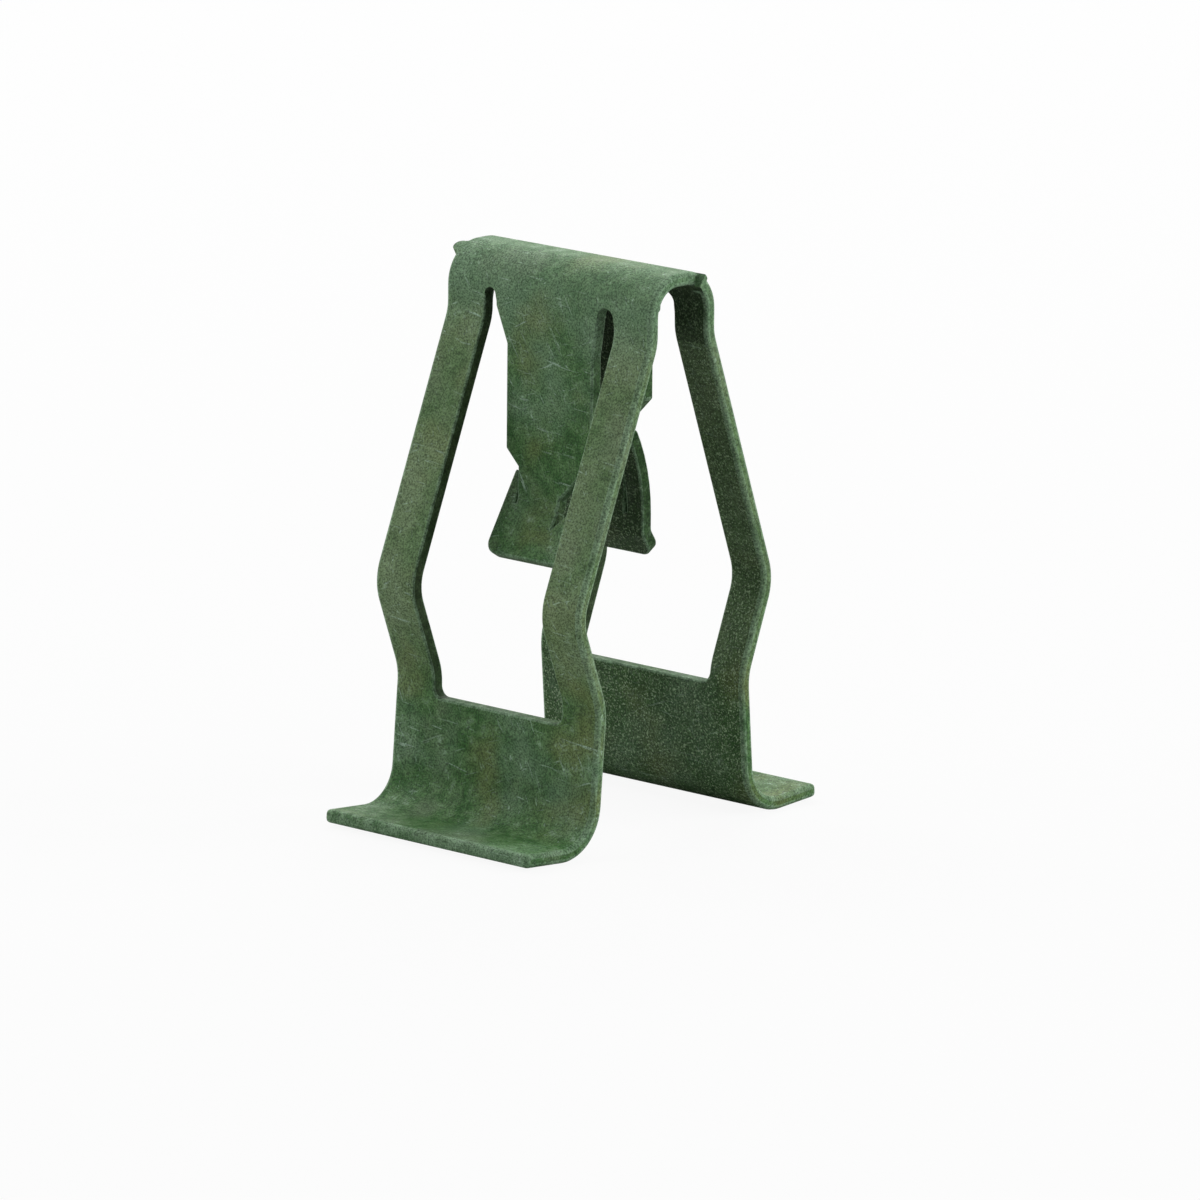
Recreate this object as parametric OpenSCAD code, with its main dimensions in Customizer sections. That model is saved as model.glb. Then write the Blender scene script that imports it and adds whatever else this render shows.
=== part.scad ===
// Spring trim clip, folded from one strip of coated spring steel.
// X runs along the fold lines, Y across the two legs and Z up from the floor.
// The front leg is on the -Y side. Drops are measured down from the bridge's top.

/* [Strip] */
// Width of the strip
strip_w = 10; // [8:0.5:14]
// Thickness of the strip
strip_t = 0.5; // [0.4:0.05:0.6]

/* [Bridge] */
// Height of the bridge's top above the floor
clip_h = 20.65; // [19:0.05:24]
// Width over the bridge and the upright upper legs
bridge_w = 3.5; // [3:0.1:4]
// Offset of the bridge and both tongues towards the back leg
bridge_shift = 0.2; // [0:0.05:0.3]
// Inside radius of the two bridge bends
bridge_r = 1; // [0.5:0.05:1]

/* [Legs] */
// Drop to the shoulder bends, where the struts begin to spread
shoulder_drop = 2.4; // [2.3:0.05:3.5]
// Inside radius of the shoulder bends
shoulder_r = 1.5; // [0.5:0.1:2]
// Height of the knees, the widest place of the struts
knee_z = 8.7; // [7.5:0.05:10]
// Width over both knees, taken at their sharp corners
knee_w = 10.7; // [9:0.1:13]
// Inside radius of the knees
knee_r = 1.6; // [0.8:0.1:2]
// Drop from the knees to the waist bends
waist_drop = 3.45; // [2.8:0.05:4]
// Width over both legs at the waist bends
waist_w = 8.1; // [7:0.1:9]
// Inside radius of the waist bends
waist_r = 2; // [1:0.1:2.5]
// Outward lean of the lower legs, in degrees
lower_lean = 4.5; // [0:0.5:6]

/* [Feet] */
// Width over both feet, from tip to tip
foot_w = 15.5; // [14:0.1:18]
// Inside radius of the foot bends
foot_r = 1.4; // [1:0.1:1.8]
// Rise of each foot towards its tip, in degrees
foot_rise = 4; // [0:0.5:8]

/* [Windows] */
// Width of the front window
front_window_w = 6.3; // [6:0.05:7]
// Width of the back window
back_window_w = 6.5; // [6:0.05:7]
// Sideways offset of the front window from the strip's middle
front_window_shift = 0.05; // [0:0.05:0.15]
// Sideways offset of the back window from the strip's middle
back_window_shift = 0.15; // [0:0.05:0.15]
// Height of the front crossbar's top edge above the floor
front_crossbar_z = 4.5; // [3.6:0.05:6]
// Height of the back crossbar's top edge above the floor
back_crossbar_z = 4.85; // [3.6:0.05:6]
// Radius of the windows' lower corners
window_r = 0.4; // [0.1:0.05:1]
// Drop to the round tops of the slots beside the front tongue
front_slot_drop = 1.35; // [1.25:0.05:1.6]
// Drop to the round tops of the slots beside the back tongue
back_slot_drop = 1; // [1:0.05:1.6]
// Width of the front window's right slot at its round top
front_slot_w = 0.8; // [0.6:0.05:1]
// Width of the back window's right slot at its round top
back_slot_w = 1.05; // [0.6:0.05:1.2]
// Width of the left slots at their round tops
left_slot_w = 0.55; // [0.4:0.05:0.7]
// Drop to the place where the front slots reach their full width
front_taper_drop = 3.3; // [2.2:0.1:4.5]
// Drop to the place where the back slots reach their full width
back_taper_drop = 2.3; // [2.1:0.1:4]

/* [Tongues] */
// Gap between a neck and the tooth beside it
slit_w = 0.08; // [0.05:0.01:0.25]
// Slope of the notches' upper sides, in degrees
notch_slope = 45; // [30:1:60]
// Slope of the teeth's upper ends, in degrees
tooth_slope = 52; // [40:1:60]
// Radius of the tongues' lower corners
blade_r = 0.5; // [0.2:0.05:0.6]
// Inside radius of the tongues' folds
fold_r = 0.3; // [0.2:0.1:1]

/* [Front tongue] */
// Width of the front tongue
front_tongue_w = 4.2; // [3.6:0.1:4.4]
// Sideways offset of the front tongue from the strip's middle
front_tongue_shift = 0.1; // [0:0.05:0.15]
// Width of the neck that carries the front blade
front_neck_w = 2; // [1.6:0.1:2.4]
// Offset of that neck from the strip's middle towards the left
front_neck_shift = 0.4; // [0:0.05:0.5]
// Drop to the outer ends of the front notches
front_notch_drop = 7.15; // [6:0.05:7.5]
// Drop to the fold line of the front blade
front_fold_drop = 8.9; // [8.8:0.05:10]
// Outward flare of the front blade, in degrees
front_flare = 31; // [20:1:40]
// Length of the front blade below its fold line
front_blade_l = 2.2; // [1.6:0.05:3]
// Length of the front teeth above the fold line
front_tooth_l = 1.1; // [1:0.05:1.3]

/* [Back tongue] */
// Width of the back tongue
back_tongue_w = 4; // [3.6:0.1:4.4]
// Width of the neck between the back teeth
back_neck_w = 2.2; // [1.6:0.1:2.8]
// Drop to the outer ends of the back notches
back_notch_drop = 5.25; // [4.6:0.05:5.6]
// Drop to the roots of the back teeth
back_tooth_drop = 9.5; // [9.2:0.05:9.55]
// Inside radius of the back teeth's inward curl
back_tooth_r = 6.2; // [5.5:0.1:7]
// Angle of that curl, in degrees
back_tooth_curl = 29; // [22:1:32]
// Drop to the fold line of the back lip
back_lip_drop = 10.1; // [10.05:0.05:10.8]
// Outward flare of the back lip, in degrees
back_lip_flare = 33; // [10:1:35]
// Length of the back lip below its fold line
back_lip_l = 0.9; // [0.8:0.05:1.6]

/* [Shear nibs] */
// Stand-out of the shear nibs left on the two ends of the bridge
nib_l = 0.3; // [0.1:0.05:0.5]
// Half length of each nib along its bend
nib_half = 0.28; // [0.15:0.01:0.35]
// Place of the rounded nib on the front bend, in degrees from the top
round_nib_turn = 30; // [15:1:60]
// Place of the torn nib on the back bend, in degrees from the top
torn_nib_turn = 32; // [15:1:60]

/* [Hidden] */
coat_green = [0.27, 0.38, 0.28];
// Turn between two points of a round stretch, in degrees
arc_step = 5;
// Overlap where two plates join, and room for a cut to run past a face
join = 0.1;
spare = 1;
// Straight run between the round of a fold and the foot of a slit
fold_room = 0.05;

// Places on the legs
bridge_out_r = bridge_r + strip_t;
waist_z = knee_z - waist_drop;
foot_centre_z = foot_r + strip_t;
foot_centre_y = waist_w / 2 + (waist_z - foot_centre_z) * tan(lower_lean) + foot_r / cos(lower_lean);
foot_face_z = foot_centre_z - foot_r / cos(foot_rise);
foot_bend_z = (foot_face_z + (waist_w / 2 + waist_z * tan(lower_lean) - foot_centre_y) * tan(foot_rise))
    / (1 + tan(lower_lean) * tan(foot_rise));
foot_bend_y = waist_w / 2 + (waist_z - foot_bend_z) * tan(lower_lean);
foot_tip_z = foot_face_z + (foot_w / 2 - foot_centre_y) * tan(foot_rise);
leg_radii = [bridge_r, shoulder_r, knee_r, waist_r, foot_r, 0];
reach = max(foot_w, knee_w) / 2 + spare;

// Places on the windows and tongues
slot_r = max(front_slot_w, back_slot_w, left_slot_w) / 2;
root_z = clip_h - max(front_slot_drop, back_slot_drop) - slot_r - join;
front_right = front_window_w / 2 + front_window_shift;
front_left = front_window_w / 2 - front_window_shift;
back_right = back_window_w / 2 + back_window_shift;
back_left = back_window_w / 2 - back_window_shift;
front_right_root = front_right - front_slot_w;
front_left_root = front_left - left_slot_w;
back_right_root = back_right - back_slot_w;
back_left_root = back_left - left_slot_w;
tongue_y = bridge_w / 2;
front_half = front_tongue_w / 2;
back_half = back_tongue_w / 2;
front_neck_half = front_neck_w / 2;
front_tooth_half = front_neck_half + slit_w;
back_neck_half = back_neck_w / 2;
back_tooth_half = back_neck_half + slit_w;
tooth_root_z = clip_h - back_tooth_drop;
tooth_setback = (back_tooth_r + strip_t) * tan(back_tooth_curl / 2);
tooth_tip_z = tooth_root_z + tooth_setback * (1 + cos(back_tooth_curl));

function reversed(list) = [for (i = [len(list) - 1 : -1 : 0]) list[i]];
function mirrored(points) = reversed([for (p = points) [-p[0], p[1]]]);
function whole(half) = concat(half, mirrored(half));

// Points round a centre, from one bearing to another
function arc(centre, r, from, to) =
    let (steps = ceil(abs(to - from) / arc_step))
    [for (k = [0 : steps]) let (a = from + (to - from) * k / steps) centre + r * [cos(a), sin(a)]];

// The strip's section runs through a row of corners p on its outer face, with
// the steel on the right of the run and the bends' inside radii in r. A radius
// of zero marks a point on a straight stretch.
function heading(p, i) = (p[i + 1] - p[i]) / norm(p[i + 1] - p[i]);
function right_of(d) = [d[1], -d[0]];
function bearing(d) = atan2(d[1], d[0]);
function turn(p, i) =
    let (a = heading(p, i - 1), b = heading(p, i))
    atan2(a[0] * b[1] - a[1] * b[0], a * b);
function bend(p, r, i, depth) =
    let (
        d = heading(p, i - 1),
        angle = turn(p, i),
        side = angle < 0 ? 1 : -1,
        face_r = angle < 0 ? r[i] + strip_t : r[i],
        start = p[i] - d * face_r * tan(abs(angle) / 2),
        first = bearing(d) + 90 * side
    )
    r[i] > 0
        ? arc(start + right_of(d) * face_r * side, face_r - side * depth, first, first + angle)
        : [p[i] + right_of(d) * depth];
function face(p, r, depth) =
    let (last = len(p) - 1)
    concat(
        [p[0] + right_of(heading(p, 0)) * depth],
        [for (i = [1 : last - 1]) each bend(p, r, i, depth)],
        [p[last] + right_of(heading(p, last - 1)) * depth]
    );
function strip_section(p, r) = concat(face(p, r, 0), reversed(face(p, r, strip_t)));

// A section of [y, z] carried along X, and an outline of [x, z] carried along Y
module along_x(width) {
    rotate([90, 0, 90])
        linear_extrude(width, center = true)
            children();
}

module along_y(depth) {
    rotate([90, 0, 0])
        linear_extrude(depth, center = true)
            children();
}

// Corners of one leg's outer face, from the bridge to the foot, as [y, z]
function leg_face(shift) = [
    [bridge_w / 2 + shift, clip_h],
    [bridge_w / 2 + shift, clip_h - shoulder_drop],
    [knee_w / 2, knee_z],
    [waist_w / 2, waist_z],
    [foot_bend_y, foot_bend_z],
    [foot_w / 2, foot_tip_z]
];

// Both legs and the bridge between them, still without openings
module folded_strip() {
    along_x(strip_w + 2 * nib_l)
        polygon(strip_section(
            concat(mirrored(leg_face(-bridge_shift)), leg_face(bridge_shift)),
            concat(reversed(leg_radii), leg_radii)
        ));
}

// Window that reaches out to half, with a slot up each side of the tongue's root
function window_side(half, slot_w, crossbar_z, slot_top) = concat(
    arc([half - window_r, crossbar_z + window_r], window_r, -90, 0),
    arc([half - slot_w / 2, slot_top - slot_w / 2], slot_w / 2, 0, 180),
    [[half - slot_w, root_z]]
);

module window_outline(right, left, right_slot_w, crossbar_z, slot_drop) {
    polygon(concat(
        window_side(right, right_slot_w, crossbar_z, clip_h - slot_drop),
        mirrored(window_side(left, left_slot_w, crossbar_z, clip_h - slot_drop))
    ));
}

// Trims one end of the strip square, round the nib that the child draws
module end_trim() {
    difference() {
        translate([strip_w / 2, -reach, -spare])
            cube([nib_l + spare, 2 * reach, clip_h + 2 * spare]);
        children();
    }
}

module at_bend(shift, turn_from_top) {
    translate([strip_w / 2, bridge_w / 2 + shift - bridge_out_r, clip_h - bridge_out_r])
        rotate([-turn_from_top, 0, 0])
            children();
}

module round_nib() {
    at_bend(-bridge_shift, round_nib_turn)
        linear_extrude(2 * bridge_out_r)
            polygon(concat(
                [[-join, -nib_half]],
                arc([nib_l - nib_half, 0], nib_half, -90, 90),
                [[-join, nib_half]]
            ));
}

module torn_nib() {
    at_bend(bridge_shift, torn_nib_turn)
        linear_extrude(2 * bridge_out_r)
            polygon([[-join, -nib_half], [nib_l, -nib_half], [0, nib_half], [-join, nib_half]]);
}

// Upper part of a tongue's edge, from its neck up past the notch to its root
function stem_edge(neck, half, root, notch_z, taper_z) = [
    [neck, notch_z - (half - neck) * tan(notch_slope)],
    [half, notch_z],
    [half, taper_z],
    [root, root_z],
    [root, root_z + join]
];

// Upper end of a tooth, from its outer corner down towards the neck
function tooth_edge(inner, half, top_z) = [
    [half, top_z],
    [inner, top_z - (half - inner) * tan(tooth_slope)]
];

// Lower end of a tongue in its own plane, with the fold line at zero height
function blade_edge(half, length) = arc([half - blade_r, blade_r - length], blade_r, -90, 0);

// Section of a tongue that hangs from the back leg, carried across its width
module tongue_section(corners, radii) {
    along_x(strip_w)
        polygon(strip_section(corners, radii));
}

// Outline square to the blade that flares out below a fold line
module blade_outline(fold_z, flare, outline) {
    translate([0, tongue_y, fold_z])
        rotate([90 + flare, 0, 0])
            linear_extrude(2 * spare, center = true)
                polygon(outline);
}

// One side of the front neck and stem, and of the blade with its tooth
function front_stem_side(neck, half, root, end_z) = concat(
    [[neck, end_z]],
    stem_edge(neck, half, root, clip_h - front_notch_drop, clip_h - front_taper_drop)
);
function front_blade_side(inner, half, slit_end) = concat(
    blade_edge(half, front_blade_l),
    tooth_edge(inner, half, front_tooth_l),
    [[inner, slit_end]]
);

// Front tongue: a short neck, and a flared blade whose teeth bite inwards
module front_tongue() {
    fold = [tongue_y, clip_h - front_fold_drop];
    run = [sin(front_flare), -cos(front_flare)];
    fold_l = fold_r * tan(front_flare / 2) + fold_room;
    fold_end = fold + fold_l * run;
    blade_end = fold + (front_blade_l + join) * run;
    tooth_end = fold - (front_tooth_l + join) * run;
    neck_end_z = fold_end[1] - strip_t * sin(front_flare) - 2 * join;
    slit_end = -fold_l - fold_room;
    right = front_half + front_tongue_shift;
    left = front_half - front_tongue_shift;
    mirror([0, 1, 0]) {
        intersection() {
            tongue_section([[tongue_y, root_z + join], fold, fold_end, blade_end], [0, fold_r, 0, 0]);
            along_y(2 * reach)
                polygon(concat(
                    front_stem_side(front_neck_half - front_neck_shift, right, front_right_root, neck_end_z),
                    mirrored(front_stem_side(front_neck_half + front_neck_shift, left, front_left_root, neck_end_z))
                ));
        }
        intersection() {
            tongue_section([tooth_end, fold_end, blade_end], [0, 0, 0]);
            blade_outline(fold[1], front_flare, concat(
                front_blade_side(front_tooth_half - front_neck_shift, right, slit_end),
                mirrored(front_blade_side(front_tooth_half + front_neck_shift, left, slit_end))
            ));
        }
    }
}

// One side of the back tongue, from the root of its lip up past the teeth
function back_stem_side(lip_z, root) = concat(
    [[back_half, lip_z], [back_half, tooth_root_z], [back_neck_half, tooth_root_z]],
    stem_edge(back_neck_half, back_half, root, clip_h - back_notch_drop, clip_h - back_taper_drop)
);

// Back tongue: a long neck between two curled teeth, and a small lip
module back_tongue() {
    lip = [tongue_y, clip_h - back_lip_drop];
    lip_end = lip + (back_lip_l + join) * [sin(back_lip_flare), -cos(back_lip_flare)];
    lip_top = strip_t * tan(back_lip_flare) + join;
    corners = [[tongue_y, root_z + join], lip, lip_end];
    intersection() {
        tongue_section(corners, [0, fold_r, 0]);
        along_y(2 * reach)
            polygon(concat(
                back_stem_side(lip[1], back_right_root),
                mirrored(back_stem_side(lip[1], back_left_root))
            ));
    }
    intersection() {
        tongue_section(corners, [0, fold_r, 0]);
        blade_outline(lip[1], back_lip_flare, whole(concat(
            blade_edge(back_half, back_lip_l),
            [[back_half, lip_top]]
        )));
    }
    for (side = [0, 1])
        mirror([side, 0, 0])
            back_tooth();
}

module back_tooth() {
    corner = [tongue_y, tooth_root_z + tooth_setback];
    tip = corner + (tooth_setback + join) * [-sin(back_tooth_curl), cos(back_tooth_curl)];
    intersection() {
        along_x(back_tongue_w)
            polygon(strip_section([tip, corner, [tongue_y, tooth_root_z - join]], [0, back_tooth_r, 0]));
        along_y(2 * reach)
            polygon(concat(
                [[back_tooth_half, tooth_root_z - spare], [back_half, tooth_root_z - spare]],
                tooth_edge(back_tooth_half, back_half, tooth_tip_z)
            ));
    }
}

module trim_clip() {
    color(coat_green) {
        difference() {
            folded_strip();
            translate([0, -reach / 2, 0])
                along_y(reach)
                    window_outline(front_right, front_left, front_slot_w, front_crossbar_z, front_slot_drop);
            translate([0, reach / 2, 0])
                along_y(reach)
                    window_outline(back_right, back_left, back_slot_w, back_crossbar_z, back_slot_drop);
            end_trim()
                torn_nib();
            rotate([0, 0, 180])
                end_trim()
                    round_nib();
        }
        translate([0, bridge_shift, 0]) {
            front_tongue();
            back_tongue();
        }
    }
}

trim_clip();
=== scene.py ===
"""Dresses a folded spring-steel trim clip and stands it in a plain white studio."""

import logging
import math
from dataclasses import dataclass, field
from enum import Enum

import bmesh
import bpy
from mathutils import Matrix, Vector
from mathutils.bvhtree import BVHTree


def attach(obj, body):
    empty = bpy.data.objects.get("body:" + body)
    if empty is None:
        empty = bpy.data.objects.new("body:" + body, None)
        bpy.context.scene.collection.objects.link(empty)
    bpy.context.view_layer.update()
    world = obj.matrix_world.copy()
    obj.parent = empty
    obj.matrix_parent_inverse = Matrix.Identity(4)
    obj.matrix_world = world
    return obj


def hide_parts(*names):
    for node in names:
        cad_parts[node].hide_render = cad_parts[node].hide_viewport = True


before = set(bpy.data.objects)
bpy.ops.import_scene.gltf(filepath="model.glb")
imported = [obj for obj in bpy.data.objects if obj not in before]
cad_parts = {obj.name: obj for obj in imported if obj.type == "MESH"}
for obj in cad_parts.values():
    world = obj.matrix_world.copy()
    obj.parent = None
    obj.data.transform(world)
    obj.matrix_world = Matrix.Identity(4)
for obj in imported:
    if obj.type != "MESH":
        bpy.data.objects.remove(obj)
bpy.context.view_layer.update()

MM = 0.001
LOG = logging.getLogger("trim_clip")

Socket = bpy.types.NodeSocket
Triple = tuple[float, float, float]
Colour = tuple[float, float, float, float]


def linear(red: int, green: int, blue: int) -> Colour:
    """Turns a colour of 0 to 255 on a screen into a shader's linear colour.

    Args:
        red: Red as a screen shows it.
        green: Green as a screen shows it.
        blue: Blue as a screen shows it.

    Returns:
        The linear colour, with full alpha.
    """
    def one(level: int) -> float:
        """Takes one channel back through the standard curve of a screen."""
        v = level / 255
        return v / 12.92 if v <= 0.04045 else ((v + 0.055) / 1.055) ** 2.4

    return one(red), one(green), one(blue), 1.0


class Tone(Enum):
    """Colours of the coat, of its wear, of its painted shade and sheen, and of the studio."""

    COAT_DEEP = linear(50, 87, 44)
    COAT_MID = linear(82, 116, 71)
    COAT_PALE = linear(112, 140, 112)
    OLIVE = linear(108, 118, 72)
    DUSK = linear(112, 122, 104)
    # Painted sheen: the struts' paler, greyer tone stands in for the light from above that they
    # catch.
    STRUT_SHEEN = linear(116, 132, 98)
    SCUFF = linear(150, 176, 155)
    EDGE = linear(128, 156, 128)
    # Dark tone of the sheared faces, also used as painted shade within the clip.
    SHEARED_AND_SHADE = linear(27, 44, 19)
    GRAIN = linear(160, 182, 148)
    FLOOR = linear(205, 205, 205)
    WHITE = linear(255, 255, 255)


class Mark(str, Enum):
    """Names of the values that the clip's mesh carries for its finish and its painted shade."""

    EDGE = "edge_wear"
    CUT = "sheared_face"
    # How much shade is painted into a face within the clip.
    PAINTED_SHADE = "inside_face"


class Sum(str, Enum):
    """Blender's names of the ways to work out two values."""

    ADD = "ADD"
    SUBTRACT = "SUBTRACT"
    MULTIPLY = "MULTIPLY"
    MAXIMUM = "MAXIMUM"


@dataclass(frozen=True)
class Ramp:
    """A smooth step of a value from one range to another."""

    low: float
    high: float
    to_low: float = 0.0
    to_high: float = 1.0


@dataclass(frozen=True)
class Cloud:
    """A cloudy pattern: its size, the number and strength of its finer layers, and its bending."""

    size: float
    layers: float = 3.0
    rough: float = 0.55
    bend: float = 0.0


class ShaderBench:
    """Short ways to lay out the nodes of a material or of the surroundings."""

    # Where Blender's mix node keeps its share and two colours, and gives the mixed colour.
    MIX_INPUTS = (0, 6, 7)
    MIX_OUTPUT = 2

    def __init__(self, owner: bpy.types.Material | bpy.types.World) -> None:
        """Starts with an empty board.

        Args:
            owner: The material or surroundings to lay out.
        """
        self.owner = owner
        owner.use_nodes = True
        self.tree = owner.node_tree
        self.tree.nodes.clear()

    def node(self, kind: str, **values: object) -> bpy.types.Node:
        """Adds a node and sets its properties.

        Args:
            kind: Blender's name of the node.
            **values: Properties of the node.

        Returns:
            The new node.
        """
        made = self.tree.nodes.new(kind)
        for key, value in values.items():
            setattr(made, key, value)
        return made

    def put(self, socket: Socket, value: object) -> None:
        """Links a socket to another, or sets its own value.

        Args:
            socket: The input to fill.
            value: An output socket, a number or a colour.
        """
        if isinstance(value, Socket):
            self.tree.links.new(value, socket)
        else:
            socket.default_value = value

    def millimetres(self) -> Socket:
        """Gives places on the object in millimetres."""
        places = self.node("ShaderNodeTexCoord")
        scale = self.node("ShaderNodeVectorMath", operation="SCALE")
        self.put(scale.inputs[0], places.outputs["Object"])
        scale.inputs["Scale"].default_value = 1 / MM
        return scale.outputs["Vector"]

    def placed(self, places: Socket, shift: Triple, turn: Triple = (0, 0, 0),
               scale: Triple = (1, 1, 1)) -> Socket:
        """Turns, shifts and then stretches places.

        Args:
            places: Places to change.
            shift: Offset in millimetres.
            turn: Turn about each axis, in degrees.
            scale: Factor along each axis, after the turn.

        Returns:
            The changed places.
        """
        turned = self.node("ShaderNodeMapping", vector_type="POINT")
        self.put(turned.inputs["Vector"], places)
        turned.inputs["Location"].default_value = shift
        turned.inputs["Rotation"].default_value = [math.radians(a) for a in turn]
        stretched = self.node("ShaderNodeVectorMath", operation="MULTIPLY")
        self.put(stretched.inputs[0], turned.outputs["Vector"])
        stretched.inputs[1].default_value = scale
        return stretched.outputs["Vector"]

    def cloud(self, places: Socket, cloud: Cloud) -> Socket:
        """Gives a cloudy value from 0 to 1.

        Args:
            places: Places to read the clouds at.
            cloud: The pattern, sized in the unit of the places.

        Returns:
            The cloudy value.
        """
        made = self.node("ShaderNodeTexNoise", noise_dimensions="3D")
        self.put(made.inputs["Vector"], places)
        made.inputs["Scale"].default_value = 1 / cloud.size
        made.inputs["Detail"].default_value = cloud.layers
        made.inputs["Roughness"].default_value = cloud.rough
        made.inputs["Distortion"].default_value = cloud.bend
        return made.outputs["Fac"]

    def ramp(self, value: Socket, ramp: Ramp) -> Socket:
        """Maps a value smoothly from one range to another.

        Args:
            value: Value to map.
            ramp: The two ranges.

        Returns:
            The mapped value.
        """
        made = self.node("ShaderNodeMapRange", interpolation_type="SMOOTHSTEP")
        self.put(made.inputs["Value"], value)
        made.inputs["From Min"].default_value = ramp.low
        made.inputs["From Max"].default_value = ramp.high
        made.inputs["To Min"].default_value = ramp.to_low
        made.inputs["To Max"].default_value = ramp.to_high
        return made.outputs["Result"]

    def sum_up(self, way: Sum, first: object, second: object) -> Socket:
        """Works out two values.

        Args:
            way: What to do with them.
            first: Left value.
            second: Right value.

        Returns:
            The result.
        """
        made = self.node("ShaderNodeMath", operation=way.value)
        self.put(made.inputs[0], first)
        self.put(made.inputs[1], second)
        return made.outputs["Value"]

    def times(self, first: object, second: object) -> Socket:
        """Multiplies two values."""
        return self.sum_up(Sum.MULTIPLY, first, second)

    def sized(self, value: Socket) -> Socket:
        """Takes the sign off a value."""
        made = self.node("ShaderNodeMath", operation="ABSOLUTE")
        self.put(made.inputs[0], value)
        return made.outputs["Value"]

    def mixed(self, share: object, below: object, above: object) -> Socket:
        """Lays one colour over another.

        Args:
            share: How much of the upper colour shows.
            below: Lower colour.
            above: Upper colour.

        Returns:
            The mixed colour.
        """
        made = self.node("ShaderNodeMix", data_type="RGBA", blend_type="MIX", clamp_factor=True)
        for index, value in zip(self.MIX_INPUTS, (share, below, above)):
            self.put(made.inputs[index], value)
        return made.outputs[self.MIX_OUTPUT]

    def mark(self, mark: Mark) -> Socket:
        """Reads a value that the mesh carries."""
        made = self.node("ShaderNodeAttribute", attribute_type="GEOMETRY",
                         attribute_name=mark.value)
        return made.outputs["Fac"]

    def finish(self, shader: Socket) -> bpy.types.Material | bpy.types.World:
        """Wires the shader to the board's output and gives the owner."""
        kind = "World" if isinstance(self.owner, bpy.types.World) else "Material"
        self.put(self.node(f"ShaderNodeOutput{kind}").inputs["Surface"], shader)
        return self.owner


@dataclass(frozen=True)
class Scratches:
    """One family of thin pale scratches that run the same way, in millimetres and degrees."""

    turn: Triple
    shift: Triple
    length: float = 0.9
    width: float = 0.1
    rarity: float = 0.64
    fade: float = 0.12
    stroke: Cloud = Cloud(size=1.0, layers=2.0, rough=0.45, bend=0.8)

    def lines(self, bench: ShaderBench, places: Socket) -> Socket:
        """Draws the scratches.

        Args:
            bench: Material to draw them in.
            places: Places in millimetres.

        Returns:
            A value that is 1 on a scratch.
        """
        stretched = bench.placed(places, self.shift, self.turn,
                                 (1 / self.width, 1 / self.width, 1 / self.length))
        shown = Ramp(self.rarity, self.rarity + self.fade)
        return bench.ramp(bench.cloud(stretched, self.stroke), shown)


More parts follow.
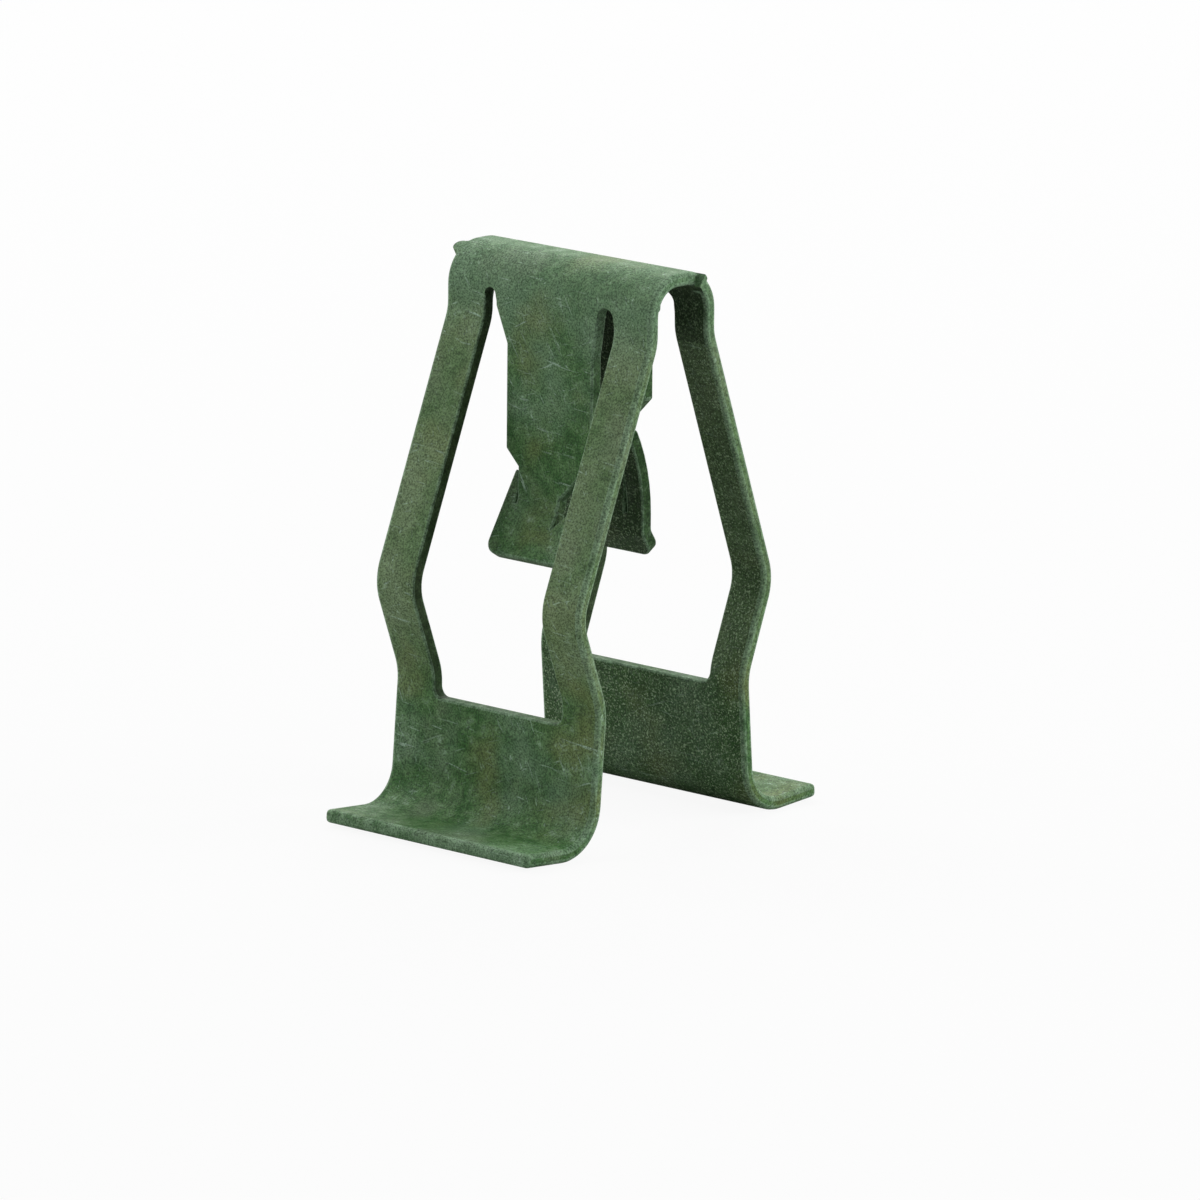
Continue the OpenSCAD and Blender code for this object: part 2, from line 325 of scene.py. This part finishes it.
@dataclass(frozen=True)
class GreenCoat:
    """Matt green coat on the steel: mottled, finely grained and worn pale along its edges.

    Shade within the clip, a sheen on the struts and a highlight on its top are painted into the
    colour. The clouds are sized in millimetres. A ramp with share in its name says how much of a
    tone shows; the strut ramps and the painted highlight's ramp are read from places in
    millimetres, the others from the clouds.
    """

    name: str = "green_coat"
    grain: Cloud = Cloud(0.07, 2.0, 0.6)
    speck: Cloud = Cloud(0.075, 2.0, 0.5)
    mottle: Cloud = Cloud(0.5, 5.0, 0.68, 0.3)
    patch: Cloud = Cloud(3.2, 3.0, 0.5)
    drift: Cloud = Cloud(3.2, 2.0)
    drift_shift: Triple = (11, 5, 3)

    mid_share: Ramp = Ramp(0.34, 0.66)
    pale_share: Ramp = Ramp(0.46, 0.72, 0.0, 0.55)
    olive_share: Ramp = Ramp(0.5, 0.74, 0.0, 0.6)
    dusk_share: Ramp = Ramp(0.28, 0.46, 0.35, 0.0)
    scuff_spots: Ramp = Ramp(0.58, 0.74)
    scuff_share: Ramp = Ramp(0.35, 0.6, 0.15, 0.55)
    scratch_share: Ramp = Ramp(0.4, 0.6, 0.3, 0.8)
    # Painted highlight: the coat grows paler towards the top, as if lit from above.
    top_highlight_share: Ramp = Ramp(17.2, 19.6, 0.0, 0.35)
    strut_across: Ramp = Ramp(2.4, 3.4)
    strut_foot: Ramp = Ramp(4.2, 7.0)
    strut_top: Ramp = Ramp(17.0, 19.5, 1.0, 0.0)
    # Painted sheen on the struts, broken up by the patches.
    strut_sheen_share: Ramp = Ramp(0.34, 0.62, 0.25, 0.6)
    cut_share: Ramp = Ramp(0.3, 0.7, 0.96, 0.72)
    grain_spots: Ramp = Ramp(0.53, 0.65)
    grain_strength: float = 2.2
    wear_share: Ramp = Ramp(0.36, 0.62, 0.2, 0.6)
    grain_light: Ramp = Ramp(0.3, 0.7, 0.5, 1.5)

    roughness: Ramp = Ramp(0.3, 0.7, 0.7, 0.54)
    specular: float = 0.12
    grain_height: float = 0.5
    speck_height: float = 0.6
    bump_strength: float = 0.55
    bump_depth: float = 0.02 * MM
    scratches: tuple[Scratches, ...] = (
        Scratches(turn=(0, 32, 0), shift=(3.1, 0.4, 1.7)),
        Scratches(turn=(0, -68, 8), shift=(7.3, 2.2, 5.1), length=1.1, width=0.09, rarity=0.65),
        Scratches(turn=(0, 84, 0), shift=(1.9, 6.6, 9.4), length=1.3, width=0.1, rarity=0.65),
    )

    def build(self) -> bpy.types.Material:
        """Lays out the coat's material and gives it."""
        bench = ShaderBench(bpy.data.materials.new(self.name))
        places = bench.millimetres()
        grain = bench.cloud(places, self.grain)
        speck = bench.cloud(places, self.speck)
        mottle = bench.cloud(places, self.mottle)

        shader = bench.node("ShaderNodeBsdfPrincipled")
        shader.inputs["Metallic"].default_value = 0.0
        shader.inputs["Specular IOR Level"].default_value = self.specular
        bench.put(shader.inputs["Base Color"], self._colour(bench, places, grain, speck, mottle))
        bench.put(shader.inputs["Roughness"], bench.ramp(mottle, self.roughness))
        bench.put(shader.inputs["Normal"], self._texture(bench, grain, speck, mottle))
        return bench.finish(shader.outputs["BSDF"])

    def _colour(self, bench: ShaderBench, places: Socket, grain: Socket, speck: Socket,
                mottle: Socket) -> Socket:
        """Lays the coat's tones over one another.

        Args:
            bench: Material to work in.
            places: Places in millimetres.
            grain: Finest cloudy value.
            speck: Fine cloudy value of the pale grains.
            mottle: Cloudy value of the mottle.

        Returns:
            The coat's colour.
        """
        patch = bench.cloud(places, self.patch)
        drift = bench.cloud(bench.placed(places, self.drift_shift), self.drift)
        edge, cut, painted_shade = (bench.mark(m) for m in (Mark.EDGE, Mark.CUT, Mark.PAINTED_SHADE))
        split = bench.node("ShaderNodeSeparateXYZ")
        bench.put(split.inputs["Vector"], places)
        scuffed = bench.times(bench.ramp(mottle, self.scuff_spots),
                              bench.ramp(patch, self.scuff_share))
        # Pale grains show on the faces with painted shade, and less where that shade is darkest.
        half_shade = bench.times(painted_shade, bench.sum_up(Sum.SUBTRACT, 1.0, painted_shade))
        grained = bench.times(bench.ramp(speck, self.grain_spots),
                              bench.times(half_shade, self.grain_strength))
        layers = (
            (bench.ramp(patch, self.pale_share), Tone.COAT_PALE),
            (bench.ramp(drift, self.olive_share), Tone.OLIVE),
            (bench.ramp(drift, self.dusk_share), Tone.DUSK),
            (scuffed, Tone.SCUFF),
            # Painted sheen on the struts, from the light above that they catch.
            (self._painted_strut_sheen(bench, split, patch), Tone.STRUT_SHEEN),
            # Painted highlight: the upper part is painted paler, as if lit from above.
            (bench.ramp(split.outputs["Z"], self.top_highlight_share), Tone.COAT_PALE),
            (self._scratched(bench, places, patch), Tone.SCUFF),
            (bench.times(cut, bench.ramp(mottle, self.cut_share)), Tone.SHEARED_AND_SHADE),
            # Painted shade: faces within the clip are darkened where shade falls.
            (painted_shade, Tone.SHEARED_AND_SHADE),
            (grained, Tone.GRAIN),
            (bench.times(edge, bench.ramp(mottle, self.wear_share)), Tone.EDGE),
        )
        colour = bench.mixed(bench.ramp(mottle, self.mid_share),
                             Tone.COAT_DEEP.value, Tone.COAT_MID.value)
        for share, tone in layers:
            colour = bench.mixed(share, colour, tone.value)
        lit = bench.node("ShaderNodeHueSaturation")
        bench.put(lit.inputs["Color"], colour)
        bench.put(lit.inputs["Value"], bench.ramp(grain, self.grain_light))
        return lit.outputs["Color"]

    def _texture(self, bench: ShaderBench, grain: Socket, speck: Socket, mottle: Socket) -> Socket:
        """Gives the coat its fine unevenness.

        Args:
            bench: Material to work in.
            grain: Finest cloudy value.
            speck: Fine cloudy value of the pale grains.
            mottle: Cloudy value of the mottle.

        Returns:
            The uneven surface's direction.
        """
        rough = bench.sum_up(Sum.ADD, bench.times(speck, self.speck_height), mottle)
        bump = bench.node("ShaderNodeBump")
        bump.inputs["Strength"].default_value = self.bump_strength
        bump.inputs["Distance"].default_value = self.bump_depth
        bench.put(bump.inputs["Height"],
                  bench.sum_up(Sum.ADD, bench.times(grain, self.grain_height), rough))
        return bump.outputs["Normal"]

    def _painted_strut_sheen(self, bench: ShaderBench, split: bpy.types.Node, patch: Socket) -> Socket:
        """Finds the struts, which are painted greyer than the middle of the strip as a painted
        sheen.

        Args:
            bench: Material to work in.
            split: Node that gives each coordinate of a place, in millimetres.
            patch: Cloudy value that breaks the painted sheen up.

        Returns:
            How much of the painted sheen shows.
        """
        across, height = bench.sized(split.outputs["X"]), split.outputs["Z"]
        along = bench.times(bench.ramp(height, self.strut_foot), bench.ramp(height, self.strut_top))
        strut = bench.times(bench.ramp(across, self.strut_across), along)
        return bench.times(strut, bench.ramp(patch, self.strut_sheen_share))

    def _scratched(self, bench: ShaderBench, places: Socket, patch: Socket) -> Socket:
        """Gathers the scratches, which some patches carry more of.

        Args:
            bench: Material to draw them in.
            places: Places in millimetres.
            patch: Cloudy value that says where scratches show most.

        Returns:
            How much of the scratches' tone shows.
        """
        lines = [family.lines(bench, places) for family in self.scratches]
        gathered = lines[0]
        for line in lines[1:]:
            gathered = bench.sum_up(Sum.MAXIMUM, gathered, line)
        return bench.times(gathered, bench.ramp(patch, self.scratch_share))


@dataclass
class TrimClip:
    """The clip itself: one folded sheet with softened sheared edges.

    Lengths are in metres and turns in radians. The probe and the sheared depth are counted in
    gauges, a slope is a part of a face's unit direction, and the cut and shade values are shares
    of the dark tone, which also paints the shade within the clip.
    """

    node: str = "trim_clip"
    slot: str = "green_coat"
    gauge: float = 0.5 * MM
    half_width: float = 5.0 * MM
    slot_tops: float = 18.85 * MM
    pierced_reach: tuple[float, float] = (4.8 * MM, 7.0 * MM)
    tongue_reach: float = 2.6 * MM
    hollow: float = 2.2 * MM
    nib_room: float = 0.02 * MM

    side_round: float = 0.17 * MM
    edge_round: float = 0.085 * MM
    edge_steps: int = 4
    edge_profile: float = 0.5
    sharp_turn: float = math.radians(28)
    flat_turn: float = math.radians(0.6)
    weld: float = 0.0015 * MM
    shading_weight: int = 50

    probe: float = 0.01
    sheared_depth: float = 1.25
    under_slope: float = 0.3
    inward_slope: float = 0.2
    tip_slope: float = 0.9
    full_cut: float = 1.0
    tongue_cut: float = 0.45
    # Shares of painted shade under the bridge, round the tongues and within the legs.
    bridge_shade: float = 0.9
    hollow_shade: float = 0.8
    leg_shade: float = 0.48
    piece: bpy.types.Object | None = field(default=None, init=False)

    def build(self) -> bpy.types.Object:
        """Makes the dressed sheet from the solid's surface.

        Returns:
            The new piece, which stands for the solid.
        """
        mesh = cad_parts[self.node].data.copy()
        mesh.name = "dressed_clip"
        board = bmesh.new()
        board.from_mesh(mesh)
        self._clean(board)
        self._mark_faces(board)
        self._round_edges(board)
        self._smooth(board)
        board.to_mesh(mesh)
        board.free()
        self.piece = bpy.data.objects.new("dressed_clip", mesh)
        bpy.context.scene.collection.objects.link(self.piece)
        even = self.piece.modifiers.new("even_shading", "WEIGHTED_NORMAL")
        even.weight = self.shading_weight
        even.keep_sharp = True
        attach(self.piece, "root")
        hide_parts(self.node)
        return self.piece

    def dress(self, coat: bpy.types.Material) -> None:
        """Gives the piece its coat."""
        self.piece.data.materials.clear()
        self.piece.data.materials.append(coat)

    def _clean(self, board: bmesh.types.BMesh) -> None:
        """Welds the surface and joins the triangles of each flat face."""
        bmesh.ops.remove_doubles(board, verts=board.verts, dist=self.weld)
        bmesh.ops.dissolve_limit(board, angle_limit=self.flat_turn,
                                 verts=board.verts, edges=board.edges)

    def _mark_faces(self, board: bmesh.types.BMesh) -> None:
        """Marks the faces within the clip that get painted shade, and those that piercing left.

        A sheared face has more than the sheet's gauge of steel behind it.

        Args:
            board: The clip's surface.
        """
        cut = board.faces.layers.float.new(Mark.CUT.value)
        painted_shade = board.faces.layers.float.new(Mark.PAINTED_SHADE.value)
        tree = BVHTree.FromBMesh(board)
        step = self.probe * self.gauge
        for face in board.faces:
            spot, out = face.calc_center_median_weighted(), face.normal
            depth = tree.ray_cast(spot - out * step, -out)[3]
            sheared = depth is None or depth > self.sheared_depth * self.gauge
            face[cut] = self._cut_share(spot) if sheared else 0.0
            # Faces within the clip get a share of painted shade; sheared faces get none.
            face[painted_shade] = 0.0 if sheared else self._painted_shade_share(spot, out)

    def _cut_share(self, spot: Vector) -> float:
        """Tells how dark a sheared face is: most in the windows, less on the tongues.

        Args:
            spot: Middle of the face.

        Returns:
            Share of the sheared tone.
        """
        if abs(spot.x) >= self.pierced_reach[0] or abs(spot.y) >= self.pierced_reach[1]:
            return 0.0
        return self.tongue_cut if abs(spot.x) < self.tongue_reach else self.full_cut

    def _painted_shade_share(self, spot: Vector, out: Vector) -> float:
        """Tells how much shade is painted into the coat: most under the bridge and round the
        tongues, some within the legs.

        Args:
            spot: Middle of a face.
            out: Direction that the face looks in.

        Returns:
            Share of the dark tone, painted as shade.
        """
        if abs(spot.x) > self.pierced_reach[0]:
            return 0.0
        # Painted shade under the bridge, where light is blocked.
        if out.z < -self.under_slope and spot.z > self.slot_tops:
            return self.bridge_shade
        if out.y * math.copysign(1, spot.y) > -self.inward_slope:
            return 0.0
        return self.hollow_shade if abs(spot.y) < self.hollow else self.leg_shade

    def _round_edges(self, board: bmesh.types.BMesh) -> None:
        """Rounds the strip's two sides, then the other sheared edges, and marks them as worn."""
        wear = board.loops.layers.float.new(Mark.EDGE.value)
        self._wear_tips(board, wear)
        for size, sides_only in ((self.side_round, True), (self.edge_round, False)):
            sharp = [e for e in board.edges
                     if self._is_rounded(e) and (not sides_only or self._is_side(e))]
            made = bmesh.ops.bevel(board, geom=sharp, offset=size, offset_type="OFFSET",
                                   segments=self.edge_steps, profile=self.edge_profile,
                                   affect="EDGES", clamp_overlap=False, loop_slide=True,
                                   miter_outer="SHARP")
            self._wear(made["faces"], wear)
            LOG.info("rounded %d edges into %d faces", len(sharp), len(made["faces"]))

    def _wear_tips(self, board: bmesh.types.BMesh, wear: bmesh.types.BMLayerItem) -> None:
        """Marks the sheared tips of both feet as worn.

        Args:
            board: The clip's surface.
            wear: The value that says how worn a place is.
        """
        tips = [face for face in board.faces if abs(face.normal.y) > self.tip_slope
                and min(abs(v.co.y) for v in face.verts) > self.pierced_reach[1]]
        self._wear(tips, wear)

    def _wear(self, faces: list[bmesh.types.BMFace], wear: bmesh.types.BMLayerItem) -> None:
        """Marks faces as worn.

        Args:
            faces: The faces to mark.
            wear: The value that says how worn a place is.
        """
        for face in faces:
            for loop in face.loops:
                loop[wear] = 1.0

    def _is_rounded(self, edge: bmesh.types.BMEdge) -> bool:
        """Tells whether a sheared edge is rounded: not at the nibs, nor at the slots' tops.

        Args:
            edge: An edge of the sheet.

        Returns:
            True for an edge to round.
        """
        across = max(abs(v.co.x) for v in edge.verts)
        lowest = min(v.co.z for v in edge.verts)
        at_nib = across > self.half_width + self.nib_room
        at_slot_top = across < self.half_width - self.gauge and lowest > self.slot_tops
        sharp = edge.is_convex and edge.calc_face_angle(0) > self.sharp_turn
        return sharp and not at_nib and not at_slot_top

    def _is_side(self, edge: bmesh.types.BMEdge) -> bool:
        """Tells whether an edge runs along one of the strip's two sides."""
        return min(abs(v.co.x) for v in edge.verts) > self.half_width - self.weld

    def _smooth(self, board: bmesh.types.BMesh) -> None:
        """Shades the sheet smoothly, but for the edges that stay sharp."""
        for face in board.faces:
            face.smooth = True
        for edge in board.edges:
            edge.smooth = edge.calc_face_angle(0) < self.sharp_turn


@dataclass(frozen=True)
class SoftLamp:
    """A large soft square lamp that looks at the clip, in metres and watts."""

    name: str
    place: Triple
    watts: float
    size: float = 0.26


@dataclass
class Studio:
    """Pale floor, even surroundings and soft lamps, in metres."""

    floor_size: float = 3.0
    surround: float = 0.02
    floor_glow: float = 0.92
    white: float = 1.0
    aim: Triple = (0.0, 0.0, 0.01)
    lamps: tuple[SoftLamp, ...] = (
        SoftLamp("high_left", (-0.30, 0.0, 0.34), 1.0),
        SoftLamp("high_right", (0.30, 0.0, 0.34), 0.5),
        SoftLamp("front_left", (-0.30, -0.30, 0.15), 0.72),
        SoftLamp("back_left", (-0.20, 0.28, 0.28), 1.0),
        SoftLamp("back_right", (0.30, 0.30, 0.20), 1.5),
    )

    def build(self) -> None:
        """Makes the floor, the surroundings and the lamps."""
        self._floor()
        self._surround()
        for lamp in self.lamps:
            self._lamp(lamp)

    def _floor(self) -> None:
        """Lays the floor under the clip's feet."""
        board = bmesh.new()
        bmesh.ops.create_grid(board, x_segments=1, y_segments=1, size=self.floor_size / 2)
        mesh = bpy.data.meshes.new("floor")
        board.to_mesh(mesh)
        board.free()
        floor = bpy.data.objects.new("floor", mesh)
        bpy.context.scene.collection.objects.link(floor)
        mesh.materials.append(self._floor_finish())

    def _floor_finish(self) -> bpy.types.Material:
        """Gives a white floor that keeps a faint shadow."""
        bench = ShaderBench(bpy.data.materials.new("white_floor"))
        matt = bench.node("ShaderNodeBsdfDiffuse")
        matt.inputs["Color"].default_value = Tone.FLOOR.value
        white = bench.node("ShaderNodeEmission")
        white.inputs["Color"].default_value = Tone.WHITE.value
        white.inputs["Strength"].default_value = self.white
        ray = bench.node("ShaderNodeLightPath")
        seen = bench.times(ray.outputs["Is Camera Ray"], self.floor_glow)
        mixed = bench.node("ShaderNodeMixShader")
        bench.put(mixed.inputs[0], seen)
        bench.put(mixed.inputs[1], matt.outputs["BSDF"])
        bench.put(mixed.inputs[2], white.outputs["Emission"])
        return bench.finish(mixed.outputs["Shader"])

    def _surround(self) -> None:
        """Lights the clip faintly from all round, and shows white behind it."""
        bench = ShaderBench(bpy.data.worlds.new("studio"))
        ray = bench.node("ShaderNodeLightPath")
        shown = ray.outputs["Is Camera Ray"]
        for kind in ("Is Glossy Ray", "Is Transmission Ray"):
            shown = bench.sum_up(Sum.MAXIMUM, shown, ray.outputs[kind])
        glow = bench.node("ShaderNodeBackground")
        glow.inputs["Color"].default_value = Tone.WHITE.value
        level = bench.ramp(shown, Ramp(0.0, 1.0, self.surround, self.white))
        bench.put(glow.inputs["Strength"], level)
        bpy.context.scene.world = bench.finish(glow.outputs["Background"])

    def _lamp(self, lamp: SoftLamp) -> None:
        """Hangs one lamp and turns it towards the clip.

        Args:
            lamp: The lamp to hang.
        """
        light = bpy.data.lights.new(lamp.name, "AREA")
        light.shape = "SQUARE"
        light.size = lamp.size
        light.energy = lamp.watts
        hung = bpy.data.objects.new(lamp.name, light)
        place = Vector(lamp.place)
        turn = (Vector(self.aim) - place).to_track_quat("-Z", "Y").to_matrix()
        hung.matrix_world = Matrix.Translation(place) @ turn.to_4x4()
        bpy.context.scene.collection.objects.link(hung)


@dataclass
class PhotoCamera:
    """Camera at the photograph's place, in degrees, millimetres and photo pixels."""

    azimuth: float = 42.4334
    elevation: float = 12.6274
    roll: float = -0.5805
    across: float = 1.0238
    up: float = 7.7472
    distance: float = 400.0
    pixels_per_mm: float = 27.4966
    image_width: float = 1200.0
    sensor_width: float = 36.0

    def build(self) -> bpy.types.Object:
        """Sets the camera up and gives it."""
        lens = bpy.data.cameras.new("photo_camera")
        lens.sensor_fit = "HORIZONTAL"
        lens.sensor_width = self.sensor_width
        lens.lens = self.pixels_per_mm * self.distance * self.sensor_width / self.image_width
        camera = bpy.data.objects.new("photo_camera", lens)
        a, e, r = (math.radians(v) for v in (self.azimuth, self.elevation, self.roll))
        right = Vector((math.cos(a), math.sin(a), 0))
        back = Vector((math.sin(a) * math.cos(e), -math.cos(a) * math.cos(e), math.sin(e)))
        top = back.cross(right)
        rolled_right = right * math.cos(r) - top * math.sin(r)
        rolled_top = right * math.sin(r) + top * math.cos(r)
        place = (rolled_right * self.across + rolled_top * self.up + back * self.distance) * MM
        turned = Matrix((rolled_right, rolled_top, back)).transposed()
        camera.matrix_world = Matrix.Translation(place) @ turned.to_4x4()
        bpy.context.scene.collection.objects.link(camera)
        bpy.context.scene.camera = camera
        return camera


def main() -> None:
    """Builds the camera, the clip and the studio in turn."""
    logging.basicConfig(level=logging.INFO, format="%(name)s: %(message)s")
    bpy.context.scene.view_settings.view_transform = "Standard"
    PhotoCamera().build()
    LOG.info("camera set")
    clip = TrimClip()
    piece = clip.build()
    clip.dress(GreenCoat().build())
    LOG.info("%s built with %d faces", piece.name, len(piece.data.polygons))
    Studio().build()
    LOG.info("studio built")
    bpy.context.view_layer.update()


if __name__ == "__main__":
    main()
